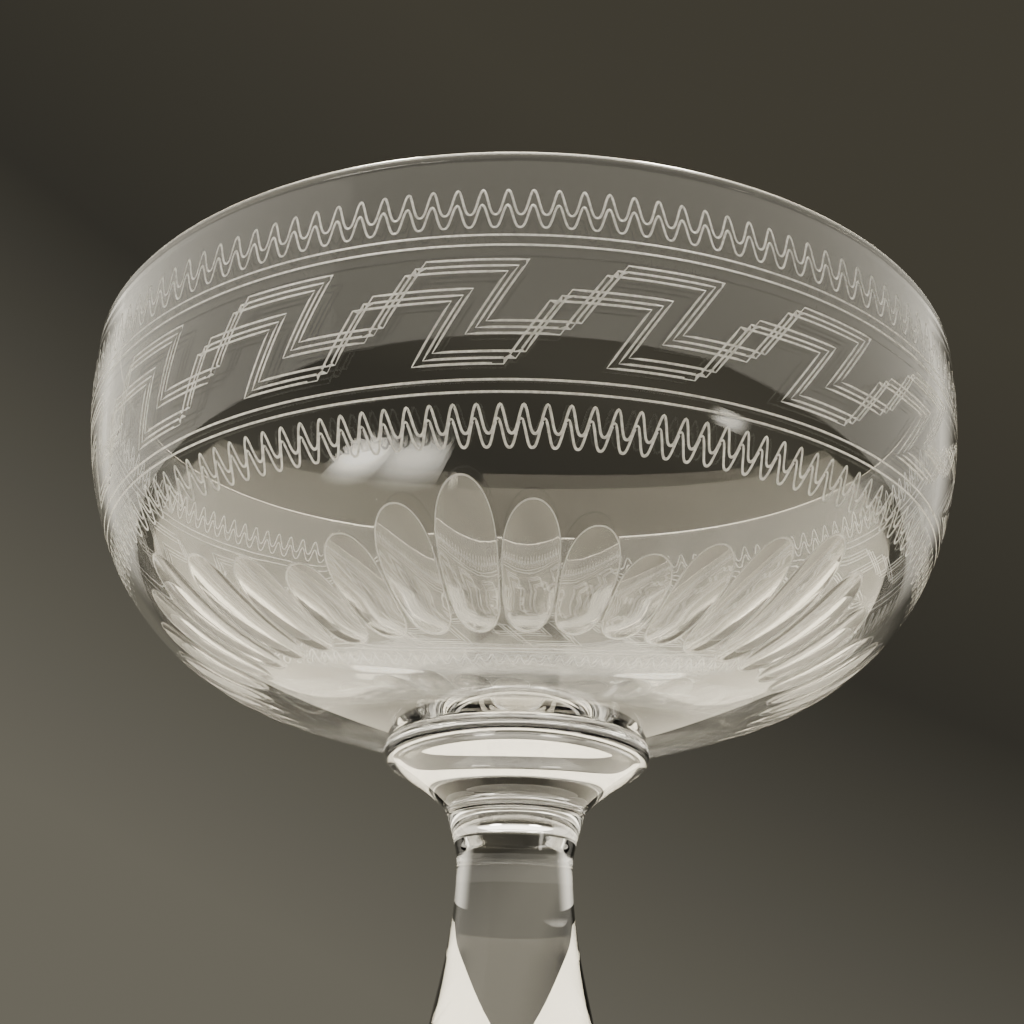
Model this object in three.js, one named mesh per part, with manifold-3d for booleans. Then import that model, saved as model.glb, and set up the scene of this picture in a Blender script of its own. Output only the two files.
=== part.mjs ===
// An engraved champagne coupe in clear glass: bowl, collar, stem and foot.
// Millimetres, +Z up, origin at the centre of the foot's resting face.
// The four pieces are gathers of glass that were joined hot, one above the other on one axis.
import * as THREE from "three";
import { mergeVertices } from "three/addons/utils/BufferGeometryUtils.js";
import Module from "manifold-3d";

// Driving dimensions.
const totalHeight = 122;
const rimRadius = 46.4;
const rimThickness = 1.6;
const fluteCount = 42;
const flutesPerArcade = 6; // the flute tops rise and fall in seven arcades of six
const collarRadius = 13.45; // the widest part of the collar's bead
const neckRadius = 5.7;
const swellRadius = 10.4; // the widest part of the stem's lower half
const ankleRadius = 5.6; // the narrowest part of the stem, just above the foot
const footRadius = 34;
const footEdgeThickness = 2.4;
const restWidth = 3.2; // the flat ring that the glass stands on
const jointGap = 0.3; // left between neighbouring gathers

// Heights worked out from them.
const bowlDepth = 37.8; // rim to the joint with the collar
const collarHeight = 7.05;
const bowlJointZ = totalHeight - bowlDepth;
const collarTopZ = bowlJointZ - jointGap;
const collarBottomZ = collarTopZ - collarHeight;
const stemTopZ = collarBottomZ - jointGap;
const footTopZ = 9.5;
const stemBottomZ = footTopZ + jointGap;

// Radii of the faces that are fused at the three joints.
const bowlJointRadius = collarRadius - 0.55;
const neckJointRadius = neckRadius + 0.9;
const ankleJointRadius = ankleRadius + 1.6;

// Segments round each piece. The bowl's are a multiple of the flute count, so each flute is cut alike.
const bowlSegments = 2 * fluteCount;
const collarSegments = 40;
const stemSegments = 36;
const footSegments = 48;

const degrees = Math.PI / 180;
const wasm = await Module();
wasm.setup();

// A path of tangent arcs in the (radius, height) plane. It starts at a point and heads down the axis,
// and each step is a straight run or an arc that turns it towards the axis by a sweep in degrees.
function arcPath(startRadius, startZ, steps) {
  const points = [new THREE.Vector2(startRadius, startZ)];
  let heading = 0;
  for (const step of steps) {
    const from = points[points.length - 1];
    if (step.straight) {
      const run = new THREE.Vector2(-Math.sin(heading), -Math.cos(heading));
      points.push(from.clone().addScaledVector(run, step.straight));
      continue;
    }
    const centreR = from.x - step.radius * Math.cos(heading);
    const centreZ = from.y + step.radius * Math.sin(heading);
    for (let i = 1; i <= step.pieces; i++) {
      const turn = heading + (step.sweep * degrees * i) / step.pieces;
      const r = centreR + step.radius * Math.cos(turn);
      const z = centreZ - step.radius * Math.sin(turn);
      points.push(new THREE.Vector2(Math.max(r, 0), z));
    }
    heading += step.sweep * degrees;
  }
  return points;
}

// The bowl's outside: a near-upright wall, a rounded shoulder and a shallow saucer bottom.
const outerSteps = [
  { straight: 3 },
  { radius: 41, sweep: 21, pieces: 3 },
  { radius: 25.3, sweep: 49.2, pieces: 6 },
  { radius: 138, sweep: 6.6, pieces: 1 },
];

// The inside follows it with a wall that thickens downwards, and ends level on the axis.
const innerSweep = 71;
const innerSteps = [
  { straight: 3 },
  { radius: 39, sweep: 21, pieces: 3 },
  { radius: 22.4, sweep: innerSweep - 21, pieces: 5 },
];

function bowlOutline() {
  const lip = rimThickness / 2;
  const outer = arcPath(rimRadius, totalHeight - lip, outerSteps);
  const inner = arcPath(rimRadius - rimThickness, totalHeight - lip, innerSteps);
  const last = inner[inner.length - 1];
  const saucer = { radius: last.x / Math.cos(innerSweep * degrees), pieces: 3 };
  const saucerTop = last.y + saucer.radius * Math.sin(innerSweep * degrees);
  for (let i = 1; i <= saucer.pieces; i++) {
    const turn = (innerSweep + ((90 - innerSweep) * i) / saucer.pieces) * degrees;
    const r = i === saucer.pieces ? 0 : saucer.radius * Math.cos(turn);
    inner.push(new THREE.Vector2(r, saucerTop - saucer.radius * Math.sin(turn)));
  }
  const rim = [];
  for (const turn of [135, 90, 45]) {
    const r = rimRadius - lip + lip * Math.cos(turn * degrees);
    rim.push(new THREE.Vector2(r, totalHeight - lip + lip * Math.sin(turn * degrees)));
  }
  const joint = [
    new THREE.Vector2(bowlJointRadius, bowlJointZ),
    new THREE.Vector2(0, bowlJointZ),
  ];
  return [...inner.reverse(), ...rim, ...outer, ...joint].reverse();
}

// The point and the tilt of the bowl's outside at a distance down it from the rim, on the shoulder
// or on the bottom beyond it, which is close to a straight cone.
function outsideAt(distance) {
  const [straight, wall, shoulder] = outerSteps;
  const wallTurn = wall.sweep * degrees;
  const shoulderTurn = shoulder.sweep * degrees;
  const start = arcPath(rimRadius, totalHeight - rimThickness / 2, [straight, wall]).pop();
  const centreR = start.x - shoulder.radius * Math.cos(wallTurn);
  const centreZ = start.y + shoulder.radius * Math.sin(wallTurn);
  const past = distance - rimThickness / 2 - straight.straight - wall.radius * wallTurn;
  const turn = wallTurn + Math.min(past / shoulder.radius, shoulderTurn);
  const beyond = Math.max(0, past - shoulder.radius * shoulderTurn);
  return {
    r: centreR + shoulder.radius * Math.cos(turn) - beyond * Math.sin(turn),
    z: centreZ - shoulder.radius * Math.sin(turn) - beyond * Math.cos(turn),
    tilt: turn,
  };
}

// Distances down the outside from the rim to a flute's top and bottom ends.
const fluteBottom = 43.6;
const tallestTop = 27.4;
const topStep = 2.0; // each flute starts this much lower than its taller neighbour
const fluteLand = 0.15; // half the width of the land left between two flutes
const arcadeTurn = (-5 / 252) * 2 * Math.PI; // how far round from -Y the first tall flute is
function fluteTop(index) {
  const place = index % flutesPerArcade;
  const steps = Math.min(place, flutesPerArcade - place);
  return tallestTop + steps * topStep;
}

// One flute's cutter: a tube that follows the bowl's outside, with its ends run out to nothing.
// Each ring of it is the rounded edge of the cutting wheel below the surface, and a roof above.
function fluteCutter(index) {
  const wheelRadius = 7;
  const stations = 5;
  const across = 4; // steps over the width of the cut
  const clear = 0.03; // how far the sides and the roof stand above the surface
  const top = fluteTop(index);
  const halfPitch = Math.PI / fluteCount;
  const positions = [];
  for (let i = 0; i <= stations; i++) {
    const along = (1 - Math.cos((Math.PI * i) / stations)) / 2;
    const place = outsideAt(top + (fluteBottom - top) * along);
    const bluntness = along < 0.5 ? 2.6 : 5; // the bottom ends are blunter than the tops
    const fullness = Math.sqrt(Math.max(0, 1 - Math.abs(2 * along - 1) ** bluntness));
    const halfWidth = (place.r * halfPitch - fluteLand) * fullness;
    const rise = Math.sqrt(wheelRadius ** 2 - halfWidth ** 2);
    const ring = [];
    for (let j = 0; j <= across; j++) {
      const sideways = halfWidth * ((2 * j) / across - 1);
      const sink = Math.sqrt(wheelRadius ** 2 - sideways ** 2) - rise;
      ring.push([sideways, clear - sink]);
    }
    ring.push([0, 2 * clear + halfWidth / 3]);
    for (const [sideways, outward] of ring) {
      const r = place.r + outward * Math.cos(place.tilt);
      const angle = sideways / place.r;
      const z = place.z - outward * Math.sin(place.tilt);
      positions.push(r * Math.cos(angle), r * Math.sin(angle), z);
    }
  }
  const around = across + 2;
  const faces = [];
  for (let i = 0; i < stations; i++) {
    for (let j = 0; j < around; j++) {
      const a = i * around + j;
      const b = i * around + ((j + 1) % around);
      faces.push(a, b, b + around, a, b + around, a + around);
    }
  }
  const last = stations * around;
  for (let j = 1; j < around - 1; j++) {
    faces.push(0, j + 1, j, last, last + j, last + j + 1);
  }
  const geometry = new THREE.BufferGeometry();
  geometry.setAttribute("position", new THREE.Float32BufferAttribute(positions, 3));
  geometry.setIndex(faces);
  return geometry.rotateZ((index * 2 * Math.PI) / fluteCount - Math.PI / 2);
}

function toSolid(geometry) {
  const bare = geometry.clone();
  bare.deleteAttribute("normal");
  bare.deleteAttribute("uv");
  const merged = mergeVertices(bare, 1e-4);
  const mesh = { numProp: 3, vertProperties: merged.attributes.position.array };
  mesh.triVerts = new Uint32Array(merged.index.array);
  return new wasm.Manifold(new wasm.Mesh(mesh));
}

function toGeometry(solid) {
  const mesh = solid.getMesh();
  const geometry = new THREE.BufferGeometry();
  geometry.setAttribute("position", new THREE.BufferAttribute(mesh.vertProperties, 3));
  geometry.setIndex(new THREE.BufferAttribute(mesh.triVerts, 1));
  geometry.computeVertexNormals();
  return geometry;
}

// A closed outline in the (radius, height) plane, turned round the upright axis.
function turned(outline, segments) {
  return new THREE.LatheGeometry(outline, segments).rotateX(Math.PI / 2);
}

// The bowl: one blown gather, with the flutes cut into its shoulder.
function bowlGeometry() {
  let bowl = toSolid(turned(bowlOutline(), bowlSegments));
  for (let i = 0; i < fluteCount; i++) {
    bowl = bowl.subtract(toSolid(fluteCutter(i)));
  }
  return toGeometry(bowl).rotateZ(arcadeTurn);
}

// The collar: a rounded bead under the bowl, and a skirt that flares in to the neck.
function collarGeometry() {
  const beadRadius = 1.9;
  const beadR = collarRadius - beadRadius;
  const beadZ = collarTopZ - 0.9;
  const bead = [];
  for (const turn of [-62, -40, -18, 2, 22]) {
    const r = beadR + beadRadius * Math.cos(turn * degrees);
    bead.push(new THREE.Vector2(r, beadZ + beadRadius * Math.sin(turn * degrees)));
  }
  const skirt = new THREE.CubicBezierCurve(
    new THREE.Vector2(neckJointRadius + 0.35, collarBottomZ + 0.1),
    new THREE.Vector2(neckJointRadius + 0.88, collarBottomZ + 1.5),
    new THREE.Vector2(bead[0].x - 1.41, bead[0].y - 0.75),
    bead[0],
  );
  const outline = [
    new THREE.Vector2(0, collarBottomZ),
    new THREE.Vector2(neckJointRadius, collarBottomZ),
    ...skirt.getPoints(7),
    ...bead.slice(1),
    new THREE.Vector2(bowlJointRadius, collarTopZ),
    new THREE.Vector2(0, collarTopZ),
  ];
  return turned(outline, collarSegments);
}

// The stem: solid, waisted under the collar, swelling downwards, and drawn in above the foot.
function stemGeometry() {
  const swellZ = 37;
  const ankleZ = 14.5;
  const side = new THREE.SplineCurve([
    new THREE.Vector2(ankleJointRadius, stemBottomZ),
    new THREE.Vector2(ankleRadius, ankleZ),
    new THREE.Vector2(ankleRadius + 1.9, ankleZ + 10),
    new THREE.Vector2(swellRadius, swellZ),
    new THREE.Vector2(swellRadius - 1.4, swellZ + 14),
    new THREE.Vector2(neckRadius + 0.7, stemTopZ - 12.5),
    new THREE.Vector2(neckRadius, stemTopZ - 5.5),
    new THREE.Vector2(neckRadius + 0.32, stemTopZ - 2.6),
    new THREE.Vector2(neckJointRadius + 0.12, stemTopZ - 0.2),
  ]);
  const outline = [new THREE.Vector2(0, stemBottomZ), ...side.getPoints(24)];
  outline.push(new THREE.Vector2(neckJointRadius, stemTopZ));
  outline.push(new THREE.Vector2(0, stemTopZ));
  return turned(outline, stemSegments);
}

// The foot: a disc that rises to the stem, hollowed underneath so that it stands on a flat ring.
function footGeometry() {
  const hollowRise = 2.6;
  const outline = [new THREE.Vector2(0, hollowRise)];
  for (let i = 1; i <= 4; i++) {
    const r = ((footRadius - restWidth) * i) / 4;
    outline.push(new THREE.Vector2(r, hollowRise * (1 - (i / 4) ** 2)));
  }
  const edge = footEdgeThickness / 2;
  outline.push(new THREE.Vector2(footRadius - edge, 0));
  for (const turn of [-45, 0, 45]) {
    const r = footRadius - edge + edge * Math.cos(turn * degrees);
    outline.push(new THREE.Vector2(r, edge + edge * Math.sin(turn * degrees)));
  }
  const topside = new THREE.CubicBezierCurve(
    new THREE.Vector2(footRadius - edge, footEdgeThickness),
    new THREE.Vector2(footRadius * 0.5, footEdgeThickness + 1.9),
    new THREE.Vector2(ankleJointRadius + 3.9, footTopZ - 3.6),
    new THREE.Vector2(ankleJointRadius, footTopZ),
  );
  outline.push(...topside.getPoints(8));
  outline.push(new THREE.Vector2(0, footTopZ));
  return turned(outline, footSegments);
}

function glass() {
  return new THREE.MeshStandardMaterial({
    color: 0xe6e4de,
    roughness: 0.03,
    metalness: 0,
    transparent: true,
    opacity: 0.35,
  });
}

function piece(name, geometry) {
  const mesh = new THREE.Mesh(geometry, glass());
  mesh.name = name;
  return mesh;
}

const group = new THREE.Group();
group.add(piece("bowl", bowlGeometry()));
group.add(piece("collar", collarGeometry()));
group.add(piece("stem", stemGeometry()));
group.add(piece("foot", footGeometry()));
export default group;
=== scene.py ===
"""An engraved champagne coupe in clear glass, on a plain pale floor before a plain dark backdrop.

The bowl, collar, stem and foot are built as closed glass pieces. Shapes are worked out in millimetres
from the same driving dimensions as the CAD part, and turned into metres when a mesh is made.
"""

import math

import bpy
import numpy as np
from mathutils import Matrix, Vector
from mathutils.geometry import delaunay_2d_cdt


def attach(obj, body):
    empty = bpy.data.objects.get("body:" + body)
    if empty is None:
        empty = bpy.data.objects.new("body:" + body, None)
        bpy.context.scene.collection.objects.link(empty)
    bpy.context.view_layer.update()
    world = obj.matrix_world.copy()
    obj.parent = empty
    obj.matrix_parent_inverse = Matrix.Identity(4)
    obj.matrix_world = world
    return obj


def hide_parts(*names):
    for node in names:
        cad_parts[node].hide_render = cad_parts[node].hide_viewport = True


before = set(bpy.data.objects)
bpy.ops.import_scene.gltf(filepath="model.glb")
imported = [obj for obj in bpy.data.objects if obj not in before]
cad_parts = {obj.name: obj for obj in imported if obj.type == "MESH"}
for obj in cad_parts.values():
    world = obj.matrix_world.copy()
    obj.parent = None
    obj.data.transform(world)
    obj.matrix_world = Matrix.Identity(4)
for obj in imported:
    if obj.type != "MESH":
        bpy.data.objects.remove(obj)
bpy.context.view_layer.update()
MM = 0.001

# The part's driving dimensions, in millimetres.
TOTAL_HEIGHT = 122.0
RIM_RADIUS = 46.4
RIM_THICKNESS = 1.6
FLUTE_COUNT = 42
FLUTES_PER_ARCADE = 6
COLLAR_RADIUS = 13.45
NECK_RADIUS = 5.7
SWELL_RADIUS = 10.4
ANKLE_RADIUS = 5.6
FOOT_RADIUS = 34.0
FOOT_EDGE = 2.4
REST_WIDTH = 3.2
FOOT_HOLLOW = 2.6

# The three hot joints: their heights, in the middle of the CAD part's gaps, and the radii of the
# fused faces.
BOWL_DEPTH = 37.95
COLLAR_HEIGHT = 7.35
BOWL_JOINT_Z = TOTAL_HEIGHT - BOWL_DEPTH
NECK_JOINT_Z = BOWL_JOINT_Z - COLLAR_HEIGHT
ANKLE_JOINT_Z = 9.65
BOWL_JOINT_RADIUS = COLLAR_RADIUS - 0.55
NECK_JOINT_RADIUS = NECK_RADIUS + 0.9
ANKLE_JOINT_RADIUS = ANKLE_RADIUS + 1.6

# The engraving: 18 repeats of the key, and 8 waves for each repeat.
KEY_REPEATS = 18
WAVES_PER_KEY = 8
COLUMNS_PER_KEY = 14
SECTOR = 2 * math.pi / KEY_REPEATS
SECTOR_DEGREES = 360 / KEY_REPEATS
RING_COLUMNS = KEY_REPEATS * COLUMNS_PER_KEY
ENGRAVED_END = 26.2  # distance down the wall from the rim where the engraved part ends
CUT_END = 45.4  # and where the cut flutes' part ends
FLAT_RADIUS = 45.0  # the radius at which the wall is laid out flat for drawing the pattern

GLASS, ENGRAVED, JOINT, CUT, CUT_EDGE = range(5)


# Profiles. A point of a profile is (radius, height, outward normal's radius and height parts).


def arc_points(start_r, start_z, heading, radius, sweep, count):
    """Points and outward normals of an arc that heads down the axis and turns towards it."""
    turns = heading + np.linspace(0, sweep, count)
    r = start_r - radius * math.cos(heading) + radius * np.cos(turns)
    z = start_z + radius * math.sin(heading) - radius * np.sin(turns)
    return np.stack([r, z, np.cos(turns), -np.sin(turns)], axis=1)


def chained(start_r, start_z, steps):
    """A straight run of a length, then arcs of (radius, sweep in degrees, points)."""
    straight, *arcs = steps
    rows = [np.array([[start_r, start_z, 1.0, 0.0]])]
    r, z, heading = start_r, start_z - straight, 0.0
    for radius, sweep, count in arcs:
        arc = arc_points(r, z, heading, radius, math.radians(sweep), count)
        rows.append(arc)
        r, z = arc[-1, 0], arc[-1, 1]
        heading += math.radians(sweep)
    return np.concatenate(rows)


# The bowl's outside: a straight wall, then the arcs of the wall, the shoulder and the bottom.
LIP = RIM_THICKNESS / 2
WALL_TOP = TOTAL_HEIGHT - LIP
WALL_STRAIGHT = 3
WALL_SWEEP = 21
OUTSIDE_ARCS = [(41, WALL_SWEEP, 150), (25.3, 49.2, 300), (138, 6.6, 150)]
OUTSIDE = chained(RIM_RADIUS, WALL_TOP, [WALL_STRAIGHT, *OUTSIDE_ARCS])
OUTSIDE_RUN = LIP + np.concatenate([[0], np.cumsum(np.hypot(*np.diff(OUTSIDE[:, :2], axis=0).T))])
OUTSIDE_LENGTH = OUTSIDE_RUN[-1]


def outside(distance):
    """Radius, height and outward normal of the bowl's outside at distances down it from the rim."""
    return [np.interp(distance, OUTSIDE_RUN, OUTSIDE[:, k]) for k in range(4)]


def on_outside(angle, distance, depth):
    """Points of the bowl's outside, sunk into the glass by a depth."""
    r, z, normal_r, normal_z = outside(distance)
    sunk_r = r - depth * normal_r
    return np.stack([sunk_r * np.cos(angle), sunk_r * np.sin(angle), z - depth * normal_z], axis=-1)


def outside_normal(angle, distance):
    _, _, normal_r, normal_z = outside(distance)
    return np.stack([normal_r * np.cos(angle), normal_r * np.sin(angle), normal_z], axis=-1)


# Patches. Each is (vertices, triangles, a normal for each corner of each triangle, material).


def turned_patch(points, normals, material=GLASS):
    """A run of (radius, height) points turned round the axis."""
    columns = RING_COLUMNS
    points = np.asarray(points, float)
    normals = np.asarray(normals, float)
    angles = np.arange(columns) * 2 * math.pi / columns - math.pi / 2
    cos, sin = np.cos(angles)[None], np.sin(angles)[None]
    height = np.repeat(points[:, 1:2], columns, axis=1)
    vertices = np.stack([points[:, :1] * cos, points[:, :1] * sin, height], axis=-1).reshape(-1, 3)
    tall = np.repeat(normals[:, 1:2], columns, axis=1)
    shading = np.stack([normals[:, :1] * cos, normals[:, :1] * sin, tall], axis=-1).reshape(-1, 3)
    row = np.arange(len(points) - 1)[:, None] * columns
    column = np.arange(columns)[None]
    beside = (column + 1) % columns
    a, b = (row + column).ravel(), (row + beside).ravel()
    triangles = np.concatenate([np.stack([a, b, b + columns], 1), np.stack([a, b + columns, a + columns], 1)])
    return vertices, triangles, shading[triangles], material


def smooth_run(points):
    """Outward normals of a smooth run of points, the glass being on the left of its direction."""
    points = np.asarray(points, float)
    along = np.gradient(points, axis=0)
    normals = np.stack([along[:, 1], -along[:, 0]], axis=1)
    return normals / np.linalg.norm(normals, axis=1, keepdims=True)


def smooth_patch(points):
    """A smooth run of (radius, height) points turned round the axis."""
    return turned_patch(points, smooth_run(points))


def joint_patch(radius, z, facing):
    """The flat round face of a hot joint, facing up (1) or down (-1)."""
    radii = np.linspace(0, radius, 4)
    points = np.stack([radii, np.full(len(radii), z)], axis=1)
    return turned_patch(points, np.tile([0.0, facing], (len(radii), 1)), JOINT)


def catmull(points, count):
    """A smooth curve through a few (radius, height) points."""
    points = np.asarray(points, float)
    padded = np.concatenate([[2 * points[0] - points[1]], points, [2 * points[-1] - points[-2]]])
    rows = []
    for i in range(len(points) - 1):
        p0, p1, p2, p3 = padded[i : i + 4]
        t = np.linspace(0, 1, count, endpoint=i == len(points) - 2)[:, None]
        bend = 2 * p0 - 5 * p1 + 4 * p2 - p3
        rows.append(0.5 * (2 * p1 + (p2 - p0) * t + bend * t**2 + (3 * p1 - p0 - 3 * p2 + p3) * t**3))
    return np.concatenate(rows)


def bezier(p0, p1, p2, p3, count):
    """A cubic curve from the first point to the last, drawn out towards the two between."""
    t = np.linspace(0, 1, count)[:, None]
    p0, p1, p2, p3 = (np.array(p, float) for p in (p0, p1, p2, p3))
    return (1 - t) ** 3 * p0 + 3 * (1 - t) ** 2 * t * p1 + 3 * (1 - t) * t**2 * p2 + t**3 * p3


def circle_run(centre_r, centre_z, radius, start, end, count):
    """Part of a circle, from one direction to another in degrees."""
    turns = np.radians(np.linspace(start, end, count))
    return np.stack([centre_r + radius * np.cos(turns), centre_z + radius * np.sin(turns)], axis=1)


# The engraved lines, drawn flat: x is the way round at FLAT_RADIUS and y the distance from the rim.


def degrees_to_x(value):
    return math.radians(value) * FLAT_RADIUS


def ring_line(distance):
    """A line straight round the wall, which runs on a little past both ends of the repeat."""
    margin = degrees_to_x(2)
    steps = COLUMNS_PER_KEY + 4
    x = np.linspace(-margin, SECTOR * FLAT_RADIUS + margin, steps)
    return np.stack([x, np.full(steps, distance)], axis=1)


def wave_line(crest, trough, shift):
    """A wave with narrow crests and round troughs; the shift is in degrees."""
    per_wave = 22
    sharpness = 1.45
    count = per_wave * (WAVES_PER_KEY + 2) + 1
    phase = np.linspace(-1, WAVES_PER_KEY + 1, count)
    rise = ((1 + np.cos(2 * math.pi * phase)) / 2) ** sharpness
    x = phase / WAVES_PER_KEY * SECTOR * FLAT_RADIUS + degrees_to_x(shift)
    return np.stack([x, trough - (trough - crest) * rise], axis=1)


# A key's runs in degrees round the wall, and its height in millimetres.
KEY_TOP_RUN, KEY_SLANT, KEY_BOTTOM_RUN, KEY_DROP = 10.15, -4.12, 9.41, 5.0


def key_line(start, distance):
    """One needle's path: along, slanting back down, along, and up to the next key."""
    piece = 0.9
    corners = []
    for repeat in (-1, 0, 1, 2):
        base = start + SECTOR_DEGREES * repeat
        corners.append((base, distance))
        corners.append((base + KEY_TOP_RUN, distance))
        corners.append((base + KEY_TOP_RUN + KEY_SLANT, distance + KEY_DROP))
        corners.append((base + KEY_TOP_RUN + KEY_SLANT + KEY_BOTTOM_RUN, distance + KEY_DROP))
    points = []
    for (a0, s0), (a1, s1) in zip(corners, corners[1:]):
        pieces = max(2, round(math.hypot(degrees_to_x(a1 - a0), s1 - s0) / piece))
        for i in range(pieces):
            part = i / pieces
            points.append((degrees_to_x(a0 + (a1 - a0) * part), s0 + (s1 - s0) * part))
    return np.array(points)


# How far each needle is set from the first, in degrees round and millimetres down.
KEY_NEEDLES = [(0, 0), (-1.05, 0.52), (-2.1, 1.0), (-5.5, 2.4), (-6.5, 2.93), (-7.7, 3.37)]


# Where the lines are: crest, trough and shift of each wave, and distances down from the rim.
UPPER_WAVES = [(4.2, 6.5, 0.65), (5.6, 7.65, 0.6)]
LOWER_WAVES = [(21.95, 24.2, 0.05), (23.05, 25.3, -0.2)]
RINGS = [8.33, 9.2, 20.05, 21.0]
KEY_START, KEY_TOP = -9.85, 10.45


def engraved_lines():
    """Every line as (points, width, depth)."""
    fine, deep = (0.19, 0.07), (0.23, 0.1)
    lines = [(wave_line(*wave), *fine) for wave in UPPER_WAVES]
    lines += [(ring_line(distance), *fine) for distance in RINGS]
    lines += [(key_line(KEY_START + a, KEY_TOP + s), *fine) for a, s in KEY_NEEDLES]
    lines += [(wave_line(*wave), *deep) for wave in LOWER_WAVES]
    return lines


def distance_to(points, line):
    """The distance from points to a polyline, all in the flat layout."""
    a, b = line[:-1], line[1:]
    along = b - a
    length2 = (along**2).sum(1)
    best = np.full(len(points), np.inf)
    batch = 2000
    for start in range(0, len(points), batch):
        chunk = points[start : start + batch]
        offset = chunk[:, None] - a[None]
        t = np.clip((offset * along[None]).sum(2) / length2[None], 0, 1)
        gap = offset - t[..., None] * along[None]
        best[start : start + batch] = np.sqrt((gap**2).sum(2).min(1))
    return best


def side_line(line, shift):
    """A polyline beside another one, without the points that would cross it on tight bends."""
    along = np.gradient(line, axis=0)
    along /= np.linalg.norm(along, axis=1, keepdims=True)
    beside = line + shift * np.stack([-along[:, 1], along[:, 0]], axis=1)
    clear = distance_to(beside, line) > 0.97 * abs(shift)
    return beside[clear]


def clipped(line, low, high):
    """The stretches of a polyline that lie between two x positions, with one point beyond each end."""
    inside = (line[:, 0] > low) & (line[:, 0] < high)
    runs, run = [], []
    for i in range(len(line)):
        near = inside[i] or (i and inside[i - 1]) or (i + 1 < len(line) and inside[i + 1])
        if near:
            run.append(line[i])
        elif run:
            runs.append(np.array(run))
            run = []
    if run:
        runs.append(np.array(run))
    return [r for r in runs if len(r) > 1]


def add_chain(points, edges, chain, closed=False):
    """Adds a chain of points, and the edges that join them, to a flat drawing."""
    first = len(points)
    points.extend((float(x), float(y)) for x, y in chain)
    last = len(chain) if closed else len(chain) - 1
    edges.extend((first + i, first + (i + 1) % len(chain)) for i in range(last))


def triangulated(points, edges, low, high):
    """A triangulation of points with fixed edges, keeping only what lies in a rectangle."""
    vectors = [Vector((float(x), float(y))) for x, y in points]
    vertices, _, faces, *_ = delaunay_2d_cdt(vectors, edges, [], 0, 1e-5)
    flat = np.array([tuple(v) for v in vertices])
    triangles = np.array([f for f in faces if len(f) == 3])
    middle = flat[triangles].mean(1)
    keep = (middle > low).all(1) & (middle < high).all(1)
    return flat, triangles[keep]


def engraved_sector():
    """One repeat of the engraved wall: flat points, triangles, depths and which triangles are cut."""
    width = SECTOR * FLAT_RADIUS
    lines = engraved_lines()
    clearance, tiny = 0.15, 1e-6
    rows = np.linspace(LIP, ENGRAVED_END, 26)
    columns = np.linspace(0, width, COLUMNS_PER_KEY + 1)
    grid = np.stack(np.meshgrid(columns, rows), axis=-1).reshape(-1, 2)
    border = (grid[:, 0] < tiny) | (grid[:, 0] > width - tiny)
    border |= (grid[:, 1] < LIP + tiny) | (grid[:, 1] > ENGRAVED_END - tiny)
    nearest = np.full(len(grid), np.inf)
    for line, line_width, _ in lines:
        nearest = np.minimum(nearest, distance_to(grid, line) - line_width / 2)
    points = [tuple(p) for p in grid[border | (nearest > clearance)]]
    edges = []
    for side in (0, width):
        add_chain(points, edges, [(side, y) for y in rows])
    for end in (LIP, ENGRAVED_END):
        add_chain(points, edges, [(x, end) for x in columns])
    for line, line_width, _ in lines:
        for shift in (-line_width / 2, 0, line_width / 2):
            shifted = side_line(line, shift) if shift else line
            for run in clipped(shifted, 0, width):
                add_chain(points, edges, run)
    flat, triangles = triangulated(points, edges, (0, LIP), (width, ENGRAVED_END))
    depth = np.zeros(len(flat))
    engraved = np.zeros(len(triangles), bool)
    middle = flat[triangles].mean(1)
    for line, line_width, line_depth in lines:
        half = line_width / 2
        near = 1 - distance_to(flat, line) / half
        depth = np.maximum(depth, line_depth * np.clip(near, 0, 1))
        engraved |= distance_to(middle, line) < 0.999 * half
    return flat, triangles, depth, engraved


def engraved_patches():
    """The engraved wall, all the way round."""
    flat, triangles, depth, engraved = engraved_sector()
    angle = flat[:, 0] / FLAT_RADIUS
    plain = ~engraved
    patches = []
    for k in range(KEY_REPEATS):
        turn = angle + k * SECTOR - math.pi / 2
        vertices = on_outside(turn, flat[:, 1], depth)
        shading = outside_normal(turn, flat[:, 1])[triangles]
        faces = vertices[triangles]
        tilt = np.cross(faces[:, 1] - faces[:, 0], faces[:, 2] - faces[:, 0])
        tilt *= np.sign((tilt * shading[:, 0]).sum(1, keepdims=True))
        tilt /= np.linalg.norm(tilt, axis=1, keepdims=True) + 1e-12
        patches.append((vertices, triangles[plain], shading[plain], GLASS))
        grooves = np.repeat(tilt[engraved][:, None], 3, axis=1)
        patches.append((vertices, triangles[engraved], grooves, ENGRAVED))
    return patches


# The cut flutes. Angles are measured from a flute's own middle, and distances from the rim.

WHEEL_RADIUS = 7.0
POLISHED_EDGE = 0.05  # the depth over which polishing rounds a flute's edge
FLUTE_LAND = 0.15  # half the width of the land left between two flutes
FLUTE_PITCH = 2 * math.pi / FLUTE_COUNT
FLUTE_BOTTOM = 43.6
TALLEST_TOP = 27.4
TOP_STEP = 2.0  # each flute starts this much lower than its taller neighbour
ARCADE_TURN = -5 * 2 * math.pi / RING_COLUMNS  # how far round from -Y the first tall flute is


def flute_width2(distance, top):
    """The square of a flute's half width, in millimetres, which goes below zero past its ends."""
    along = (distance - top) / (FLUTE_BOTTOM - top)
    power = np.where(along < 0.5, 2.6, 5.0)
    fullness2 = 1 - np.abs(2 * along - 1) ** power
    half = outside(distance)[0] * FLUTE_PITCH / 2 - FLUTE_LAND
    return half**2 * fullness2


def wheel_rise(distance, top):
    """How far above the surface the centre of the wheel's round edge stays."""
    return np.sqrt(WHEEL_RADIUS**2 - flute_width2(distance, top))


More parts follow.
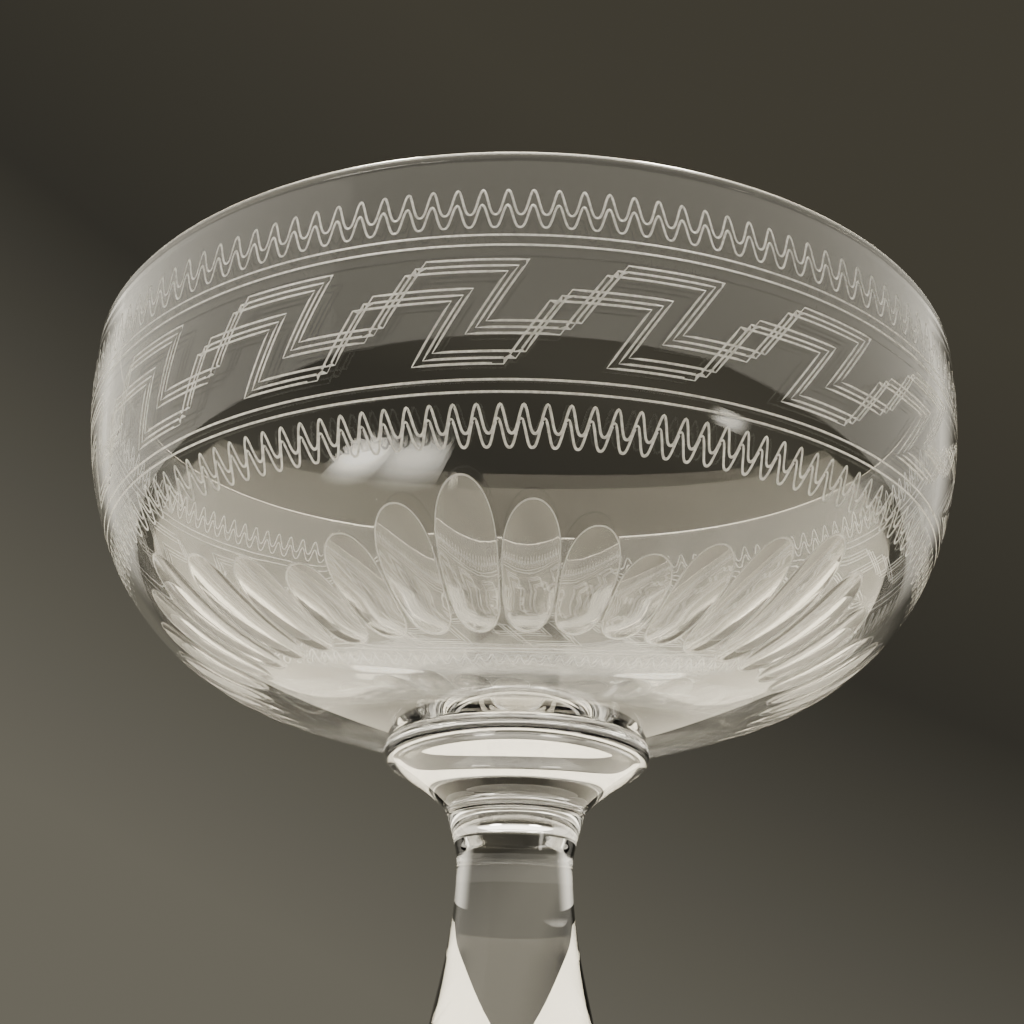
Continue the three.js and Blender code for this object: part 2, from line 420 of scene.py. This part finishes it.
def wheel_depth(angle, distance, top):
    """How deep the wheel's round edge reaches; below zero outside the cut."""
    sideways = angle * outside(distance)[0]
    return np.sqrt(WHEEL_RADIUS**2 - sideways**2) - wheel_rise(distance, top)


def flute_depth(angle, distance, top):
    """The depth of the cut, eased into the land by polishing."""
    cut = wheel_depth(angle, distance, top)
    eased = np.clip(cut + POLISHED_EDGE, 0, None) ** 2 / (4 * POLISHED_EDGE)
    return np.where(cut > POLISHED_EDGE, cut, eased)


def flute_normal(angle, distance, top, turn):
    """The wall's outward normal, tilted by the slope of the cut across and down it."""
    step = 0.01
    r, z, normal_r, normal_z = outside(distance)
    sunk_r = r - flute_depth(angle, distance, top) * normal_r
    beside = [flute_depth(angle + side * step / r, distance, top) for side in (-1, 1)]
    further = [flute_depth(angle, distance + side * step, top) for side in (-1, 1)]
    across = (beside[1] - beside[0]) / (2 * step) * r / sunk_r
    down = (further[1] - further[0]) / (2 * step)
    cos, sin = np.cos(angle + turn), np.sin(angle + turn)
    out_r = normal_r + down * normal_z
    out_z = normal_z - down * normal_r
    normal = np.stack([out_r * cos - across * sin, out_r * sin + across * cos, out_z], axis=-1)
    return normal / np.linalg.norm(normal, axis=-1, keepdims=True)


def flute_outline(top, level):
    """The closed line where the wheel's depth has a given level, laid out flat, and its half widths."""
    fine = np.linspace(top - 1, FLUTE_BOTTOM + 1, 900)
    reached = fine[wheel_rise(fine, top) + level < WHEEL_RADIUS]
    part = (1 - np.cos(np.linspace(0, math.pi, 28))) / 2
    distances = reached[0] + (reached[-1] - reached[0]) * part
    half = np.sqrt(np.clip(WHEEL_RADIUS**2 - (wheel_rise(distances, top) + level) ** 2, 0, None))
    half *= FLAT_RADIUS / outside(distances)[0]
    half[[0, -1]] = 0
    right = np.stack([half, distances], axis=1)
    left = right[-2:0:-1] * [-1, 1]
    return np.concatenate([right, left]), half, distances


def flute_sector(steps):
    """One flute and the land round it, as flat points, triangles and a material for each triangle."""
    top = TALLEST_TOP + steps * TOP_STEP
    width = FLUTE_PITCH * FLAT_RADIUS / 2
    points, edges = [], []
    for level in np.linspace(-1, 1, 7) * POLISHED_EDGE:
        add_chain(points, edges, flute_outline(top, level)[0], closed=True)
    _, half, distances = flute_outline(top, 2 * POLISHED_EDGE)
    for a, d in zip(half[1:-1], distances[1:-1]):
        points.extend((float(x * a), float(d)) for x in np.linspace(-1, 1, 9))
    side = np.linspace(ENGRAVED_END, CUT_END, 30)
    across = np.linspace(-width, width, RING_COLUMNS // FLUTE_COUNT + 1)
    for x in (-width, width):
        add_chain(points, edges, [(x, d) for d in side])
    for d in (ENGRAVED_END, CUT_END):
        add_chain(points, edges, [(x, d) for x in across])
    for d in side[1:-1]:
        beyond = max(top - d, d - FLUTE_BOTTOM)
        if beyond > 0.5:
            points.extend((float(x), float(d)) for x in across[1:-1])
    flat, triangles = triangulated(points, edges, (-width, ENGRAVED_END), (width, CUT_END))
    middle = flat[triangles].mean(1)
    reach = wheel_depth(middle[:, 0] / FLAT_RADIUS, middle[:, 1], top) / POLISHED_EDGE
    surface = np.where(reach > 0.4, CUT, np.where(reach > -0.3, CUT_EDGE, GLASS))
    return flat, triangles, surface


def flute_patches():
    """The cut band, all the way round: the flutes' tops rise and fall in arcades."""
    kinds = [flute_sector(steps) for steps in range(FLUTES_PER_ARCADE // 2 + 1)]
    patches = []
    for k in range(FLUTE_COUNT):
        place = k % FLUTES_PER_ARCADE
        steps = min(place, FLUTES_PER_ARCADE - place)
        top = TALLEST_TOP + steps * TOP_STEP
        flat, triangles, surface = kinds[steps]
        angle, distance = flat[:, 0] / FLAT_RADIUS, flat[:, 1]
        turn = k * FLUTE_PITCH - math.pi / 2 + ARCADE_TURN
        vertices = on_outside(angle + turn, distance, flute_depth(angle, distance, top))
        shading = flute_normal(angle, distance, top, turn)[triangles]
        for kind in (GLASS, CUT, CUT_EDGE):
            patches.append((vertices, triangles[surface == kind], shading[surface == kind], kind))
    return patches


# Meshes.


def oriented(vertices, triangles, shading):
    """The same triangles, each wound so that it faces the way its shading does."""
    corners = vertices[triangles]
    facing = np.cross(corners[:, 1] - corners[:, 0], corners[:, 2] - corners[:, 0])
    flipped = (facing * shading.sum(1)).sum(1) < 0
    triangles, shading = triangles.copy(), shading.copy()
    triangles[flipped] = triangles[flipped][:, ::-1]
    shading[flipped] = shading[flipped][:, ::-1]
    return triangles, shading


def glass_piece(name, patches, materials):
    """One mesh from patches: shared points are merged and each corner keeps its own normal."""
    vertices, triangles, shading, slots = [], [], [], []
    count = 0
    for points, faces, normals, slot in patches:
        faces, normals = oriented(points, faces, normals)
        vertices.append(points)
        triangles.append(faces + count)
        shading.append(normals)
        slots.append(np.full(len(faces), slot))
        count += len(points)
    vertices = np.concatenate(vertices)
    triangles = np.concatenate(triangles)
    shading = np.concatenate(shading)
    slots = np.concatenate(slots)
    weld = 0.0005
    keys = np.round(vertices / weld).astype(np.int64)
    _, first, merged = np.unique(keys, axis=0, return_index=True, return_inverse=True)
    triangles = merged.reshape(-1)[triangles]
    whole = (triangles[:, 0] != triangles[:, 1]) & (triangles[:, 1] != triangles[:, 2])
    whole &= triangles[:, 2] != triangles[:, 0]
    triangles, shading, slots = triangles[whole], shading[whole], slots[whole]
    mesh = bpy.data.meshes.new(name)
    mesh.from_pydata((vertices[first] * MM).tolist(), [], triangles.tolist())
    for material in materials:
        mesh.materials.append(material)
    mesh.polygons.foreach_set("material_index", slots.astype(np.int32))
    mesh.polygons.foreach_set("use_smooth", np.ones(len(triangles), bool))
    mesh.normals_split_custom_set(shading.reshape(-1, 3).tolist())
    mesh.update()
    obj = bpy.data.objects.new(name, mesh)
    bpy.context.scene.collection.objects.link(obj)
    return obj


# Materials.


def principled(name):
    """A new material, its node tree and its shader."""
    material = bpy.data.materials.new(name)
    material.use_nodes = True
    return material, material.node_tree, material.node_tree.nodes["Principled BSDF"]


def noise(tree, scale, detail):
    """Noise laid out in the object's own space, in features per metre."""
    place = tree.nodes.new("ShaderNodeTexCoord")
    texture = tree.nodes.new("ShaderNodeTexNoise")
    texture.inputs["Scale"].default_value = scale
    texture.inputs["Detail"].default_value = detail
    tree.links.new(place.outputs["Object"], texture.inputs["Vector"])
    return texture


def add_bump(tree, texture, shader, strength, distance):
    """A bump wide enough in its filter not to turn grainy where the glass is seen through glass."""
    bump = tree.nodes.new("ShaderNodeBump")
    bump.inputs["Strength"].default_value = strength
    bump.inputs["Distance"].default_value = distance
    bump.inputs["Filter Width"].default_value = 3.0
    tree.links.new(texture.outputs["Fac"], bump.inputs["Height"])
    tree.links.new(bump.outputs["Normal"], shader.inputs["Normal"])


def clear_glass():
    """Clear, faintly warm old glass, with the slow ripple of a blown and hand-polished surface."""
    material, tree, shader = principled("clear_glass")
    shader.inputs["Base Color"].default_value = (0.985, 0.98, 0.965, 1)
    shader.inputs["Roughness"].default_value = 0.0
    shader.inputs["IOR"].default_value = 1.52
    shader.inputs["Transmission Weight"].default_value = 1.0
    ripple = noise(tree, 55, 1.0)
    add_bump(tree, ripple, shader, 0.06, 0.0006)
    return material


def engraved_glass():
    """The powdery white floor of a needle-engraved line."""
    material, tree, shader = principled("engraved_glass")
    shader.inputs["Roughness"].default_value = 0.45
    shader.inputs["IOR"].default_value = 1.52
    shader.inputs["Transmission Weight"].default_value = 0.45
    grain = noise(tree, 2600, 2.0)
    shades = tree.nodes.new("ShaderNodeValToRGB")
    shades.color_ramp.elements[0].position = 0.35
    shades.color_ramp.elements[0].color = (0.62, 0.61, 0.58, 1)
    shades.color_ramp.elements[1].position = 0.65
    shades.color_ramp.elements[1].color = (0.96, 0.95, 0.92, 1)
    tree.links.new(grain.outputs["Fac"], shades.inputs["Fac"])
    tree.links.new(shades.outputs["Color"], shader.inputs["Base Color"])
    return material


def cut_glass(name, transmission, roughness):
    """Glass left slightly satin by the cutting wheel and the polishing of its edge."""
    material, tree, shader = principled(name)
    shader.inputs["Base Color"].default_value = (0.97, 0.955, 0.92, 1)
    shader.inputs["Roughness"].default_value = roughness
    shader.inputs["IOR"].default_value = 1.52
    shader.inputs["Transmission Weight"].default_value = transmission
    streaks = noise(tree, 420, 2.0)
    add_bump(tree, streaks, shader, 0.05, 0.0002)
    return material


def hot_joint():
    """The faces where two gathers are fused, which light passes straight through."""
    material, _, shader = principled("hot_joint")
    shader.inputs["Alpha"].default_value = 0.0
    return material


# The pieces.


def bowl_patches():
    """The engraved and cut wall, the saucer bottom, the joint, the rounded rim and the inside."""
    patches = engraved_patches() + flute_patches()
    r, z, normal_r, normal_z = outside(np.linspace(CUT_END, OUTSIDE_LENGTH, 14))
    patches.append(turned_patch(np.stack([r, z], 1), np.stack([normal_r, normal_z], 1)))
    patches.append(smooth_patch(bezier(
        (BOWL_JOINT_RADIUS, BOWL_JOINT_Z),
        (BOWL_JOINT_RADIUS, BOWL_JOINT_Z + 0.1),
        (r[-1] - 0.25, z[-1] - 0.04),
        (r[-1], z[-1]),
        6,
    )))
    patches.append(joint_patch(BOWL_JOINT_RADIUS, BOWL_JOINT_Z, -1))
    rim = circle_run(RIM_RADIUS - LIP, WALL_TOP, LIP, 0, 180, 17)
    patches.append(turned_patch(rim, (rim - [RIM_RADIUS - LIP, WALL_TOP]) / LIP))
    sweep = 71
    inside_arcs = [(39, WALL_SWEEP, 16), (22.4, sweep - WALL_SWEEP, 30)]
    inside = chained(RIM_RADIUS - RIM_THICKNESS, WALL_TOP, [WALL_STRAIGHT, *inside_arcs])
    end_r, end_z = inside[-1, :2]
    heading = math.radians(sweep)
    saucer = arc_points(end_r, end_z, heading, end_r / math.cos(heading), math.radians(90 - sweep), 18)
    saucer[-1, 0] = 0
    inside = np.concatenate([inside, saucer[1:]])
    patches.append(turned_patch(inside[:, :2], -inside[:, 2:]))
    return patches


def collar_patches():
    """A rounded bead below the bowl, and a skirt that flares in to the neck."""
    top, bottom = BOWL_JOINT_Z, NECK_JOINT_Z
    bead = 1.9
    bead_z = top - 1.05
    rounded = circle_run(COLLAR_RADIUS - bead, bead_z, bead, 22, -62, 22)
    shoulder = bezier(
        (BOWL_JOINT_RADIUS, top),
        (BOWL_JOINT_RADIUS, top - 0.1),
        rounded[0] + (-0.05, 0.12),
        rounded[0],
        6,
    )
    skirt = bezier(
        rounded[-1],
        rounded[-1] + (-1.41, -0.75),
        (NECK_JOINT_RADIUS + 0.88, bottom + 1.66),
        (NECK_JOINT_RADIUS + 0.35, bottom + 0.25),
        30,
    )
    lip = bezier(
        skirt[-1],
        skirt[-1] + (-0.06, -0.16),
        (NECK_JOINT_RADIUS, bottom + 0.1),
        (NECK_JOINT_RADIUS, bottom),
        5,
    )
    side = np.concatenate([shoulder, rounded[1:], skirt[1:], lip[1:]])[::-1]
    return [
        joint_patch(NECK_JOINT_RADIUS, bottom, -1),
        smooth_patch(side),
        joint_patch(BOWL_JOINT_RADIUS, top, 1),
    ]


def stem_patches():
    """A waisted neck, a long swell and a narrow ankle."""
    swell_z, ankle_z = 37, 14.5
    top = NECK_JOINT_Z
    shoulder = bezier(
        (NECK_JOINT_RADIUS + 0.12, top - 0.3),
        (NECK_JOINT_RADIUS + 0.12, top - 0.12),
        (NECK_JOINT_RADIUS, top - 0.1),
        (NECK_JOINT_RADIUS, top),
        5,
    )
    side = catmull(
        [
            (ANKLE_JOINT_RADIUS, ANKLE_JOINT_Z),
            (ANKLE_RADIUS, ankle_z),
            (ANKLE_RADIUS + 1.9, ankle_z + 10),
            (SWELL_RADIUS, swell_z),
            (SWELL_RADIUS - 1.4, swell_z + 14),
            (NECK_RADIUS + 0.7, top - 12.7),
            (NECK_RADIUS, top - 5.7),
            (NECK_RADIUS + 0.32, top - 2.8),
            shoulder[0],
        ],
        14,
    )
    return [
        joint_patch(ANKLE_JOINT_RADIUS, ANKLE_JOINT_Z, -1),
        smooth_patch(side),
        smooth_patch(shoulder),
        joint_patch(NECK_JOINT_RADIUS, top, 1),
    ]


def foot_patches():
    """A round foot with a rounded edge, resting on a ring round a shallow hollow."""
    inner = FOOT_RADIUS - REST_WIDTH
    radii = np.linspace(0, inner, 24)
    hollow = np.stack([radii, FOOT_HOLLOW * (1 - (radii / inner) ** 2)], axis=1)
    half = FOOT_EDGE / 2
    rest = [(inner, 0), (FOOT_RADIUS - half, 0)]
    edge = circle_run(FOOT_RADIUS - half, half, half, -90, 90, 17)
    topside = bezier(
        (FOOT_RADIUS - half, FOOT_EDGE),
        (FOOT_RADIUS * 0.5, FOOT_EDGE + 1.9),
        (ANKLE_JOINT_RADIUS + 3.9, ANKLE_JOINT_Z - 3.6),
        (ANKLE_JOINT_RADIUS, ANKLE_JOINT_Z),
        40,
    )
    return [
        smooth_patch(hollow),
        smooth_patch(rest),
        smooth_patch(edge),
        smooth_patch(topside),
        joint_patch(ANKLE_JOINT_RADIUS, ANKLE_JOINT_Z, 1),
    ]


def build_object():
    cut = cut_glass("cut_glass", 0.9, 0.02)
    edge = cut_glass("cut_edge", 0.7, 0.2)
    materials = [clear_glass(), engraved_glass(), hot_joint(), cut, edge]
    makers = {"bowl": bowl_patches, "collar": collar_patches, "stem": stem_patches, "foot": foot_patches}
    for node, maker in makers.items():
        piece = glass_piece("coupe_" + node, maker(), materials)
        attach(piece, "root")
        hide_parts(node)


# The stage: a plain pale floor, a dark backdrop and a tent of soft light that is open at the back.


def pale_floor():
    """A plain pale sheet that ends close in front of the object, where the glass mirrors the dark."""
    side, front, back = 0.5, -0.09, 0.28
    mesh = bpy.data.meshes.new("floor")
    corners = [(-side, front, 0), (side, front, 0), (side, back, 0), (-side, back, 0)]
    mesh.from_pydata(corners, [], [(0, 1, 2, 3)])
    floor = bpy.data.objects.new("floor", mesh)
    floor.location.z = -0.0002
    bpy.context.scene.collection.objects.link(floor)
    material, tree, shader = principled("pale_floor")
    shader.inputs["Roughness"].default_value = 0.7
    mottle = noise(tree, 30, 3.0)
    shades = tree.nodes.new("ShaderNodeValToRGB")
    low, high = shades.color_ramp.elements
    low.color = (0.77, 0.73, 0.64, 1)
    high.color = (0.83, 0.79, 0.69, 1)
    tree.links.new(mottle.outputs["Fac"], shades.inputs["Fac"])
    tree.links.new(shades.outputs["Color"], shader.inputs["Base Color"])
    mesh.materials.append(material)


def dark_backdrop():
    """A warm dark grey all round, lighter towards the horizon on the left and dark below it."""
    world = bpy.data.worlds.new("backdrop")
    bpy.context.scene.world = world
    world.use_nodes = True
    tree = world.node_tree
    background = tree.nodes["Background"]
    place = tree.nodes.new("ShaderNodeTexCoord")
    lean = tree.nodes.new("ShaderNodeVectorMath")
    lean.operation = "DOT_PRODUCT"
    lean.inputs[1].default_value = Vector((0.45, 0.0, 0.9))
    tree.links.new(place.outputs["Generated"], lean.inputs[0])
    raised = tree.nodes.new("ShaderNodeMath")
    raised.operation = "ADD"
    raised.inputs[1].default_value = 0.4
    tree.links.new(lean.outputs["Value"], raised.inputs[0])
    shades = tree.nodes.new("ShaderNodeValToRGB")
    stops = shades.color_ramp.elements
    stops[0].position = 0.0
    stops[0].color = (0.03, 0.028, 0.022, 1)
    stops[1].position = 1.0
    stops[1].color = (0.058, 0.053, 0.039, 1)
    for position, level in ((0.22, 1.0), (0.4, 0.95), (0.76, 0.24)):
        stop = stops.new(position)
        stop.color = (0.155 * level, 0.145 * level, 0.114 * level, 1)
    tree.links.new(raised.outputs[0], shades.inputs["Fac"])
    tree.links.new(shades.outputs["Color"], background.inputs["Color"])


LAMP_COLOUR = (1.0, 0.945, 0.81)  # a little warm


def soft_panel(name, place, aim, width, height, radiance):
    """A large light of an even brightness."""
    data = bpy.data.lights.new(name, "AREA")
    data.shape = "RECTANGLE"
    data.size, data.size_y = width, height
    data.energy = math.pi * width * height
    data.color = LAMP_COLOUR
    data.use_nodes = True
    data.node_tree.nodes["Emission"].inputs["Strength"].default_value = radiance
    light = bpy.data.objects.new(name, data)
    light.location = place
    light.rotation_euler = (Vector(aim) - Vector(place)).to_track_quat("-Z", "Y").to_euler()
    light.visible_camera = False
    bpy.context.scene.collection.objects.link(light)
    return data.node_tree


def fade(tree, value, dark, full):
    """Turns a panel down from its full brightness to dark as a value goes from full to dark."""
    strength = tree.nodes["Emission"].inputs["Strength"]
    ramp = tree.nodes.new("ShaderNodeMapRange")
    ramp.interpolation_type = "SMOOTHSTEP"
    ramp.inputs["From Min"].default_value = dark
    ramp.inputs["From Max"].default_value = full
    ramp.inputs["To Max"].default_value = strength.default_value
    tree.links.new(value, ramp.inputs["Value"])
    tree.links.new(ramp.outputs["Result"], strength)


def fade_back(tree, dark_y, full_y):
    """Lets a panel fade out towards the back of the stage."""
    point = tree.nodes.new("ShaderNodeNewGeometry")
    parts = tree.nodes.new("ShaderNodeSeparateXYZ")
    tree.links.new(point.outputs["Position"], parts.inputs["Vector"])
    fade(tree, parts.outputs["Y"], dark_y, full_y)


def fade_out(tree, centre, dark, full):
    """Lets a panel fade out with the distance from a point."""
    point = tree.nodes.new("ShaderNodeNewGeometry")
    reach = tree.nodes.new("ShaderNodeVectorMath")
    reach.operation = "DISTANCE"
    reach.inputs[1].default_value = centre
    tree.links.new(point.outputs["Position"], reach.inputs[0])
    fade(tree, reach.outputs["Value"], dark, full)


def light_tent():
    """Soft panels in front, on both sides and overhead, fading out at the back."""
    wide, tall, back = 1.5, 2.6, 2.2
    middle = tall / 2
    side_y = (back - wide) / 2
    soft_panel("front", (0, -wide, middle), (0, 0, middle), 2 * wide, tall, 1.1)
    left = soft_panel("left", (-wide, side_y, middle), (0, side_y, middle), back + wide, tall, 1.35)
    right = soft_panel("right", (wide, side_y, middle), (0, side_y, middle), back + wide, tall, 1.1)
    overhead = soft_panel("overhead", (0, 0, tall), (0, 0, 0), 2 * wide, 2 * wide, 5.0)
    fade_back(left, back, 0.8)
    fade_back(right, back, 0.8)
    fade_back(overhead, 1.2, 0.3)


def low_windows():
    """Soft bright panes low in front, which the bowl mirrors above its flutes like windows."""
    straight_up = Vector((0, 0, 1))
    for x, radiance in ((-0.100, 20), (-0.061, 10)):
        place = Vector((x, -0.112, 0.003))
        pane = soft_panel("pane", place, place + straight_up, 0.04, 0.085, radiance)
        fade_out(pane, place, 0.036, 0.004)
    place = Vector((0.226, -0.192, 0.01))
    shoulder = (0.016, -0.039, 0.101)
    glint = soft_panel("glint", place, shoulder, 0.06, 0.03, 9)
    fade_out(glint, place, 0.03, 0.006)


def floor_lamps():
    """Two soft lamps high behind, which light the floor that the cut flutes and the stem gather."""
    for side in (-1, 1):
        data = bpy.data.lights.new("floor_lamp", "SPOT")
        data.energy = 150
        data.color = LAMP_COLOUR
        data.shadow_soft_size = 0.12
        data.spot_size = math.radians(30)
        data.spot_blend = 1.0
        lamp = bpy.data.objects.new("floor_lamp", data)
        lamp.location = (side * 0.35, 0.45, 1.4)
        aim = Vector((side * 0.19, 0.17, 0))
        lamp.rotation_euler = (aim - lamp.location).to_track_quat("-Z", "Y").to_euler()
        lamp.visible_camera = False
        bpy.context.scene.collection.objects.link(lamp)


def camera():
    """Close below the bowl and looking up at it, so that the stem runs out of the picture."""
    distance, below_rim = 0.1295, 0.0684
    data = bpy.data.cameras.new("camera")
    data.sensor_width = 36
    data.lens = 45
    data.clip_start = 0.005
    pitch, yaw, roll = math.radians(23.55), math.radians(-0.46), math.radians(1.28)
    forward = Vector((math.sin(yaw) * math.cos(pitch), math.cos(yaw) * math.cos(pitch), math.sin(pitch)))
    level = forward.cross(Vector((0, 0, 1))).normalized()
    upright = level.cross(forward)
    right = level * math.cos(roll) + upright * math.sin(roll)
    up = upright * math.cos(roll) - level * math.sin(roll)
    view = bpy.data.objects.new("camera", data)
    view.matrix_world = Matrix((right, up, -forward)).transposed().to_4x4()
    view.location = (0, -distance, TOTAL_HEIGHT * MM - below_rim)
    bpy.context.scene.collection.objects.link(view)
    bpy.context.scene.camera = view


build_object()
pale_floor()
dark_backdrop()
light_tent()
low_windows()
floor_lamps()
camera()
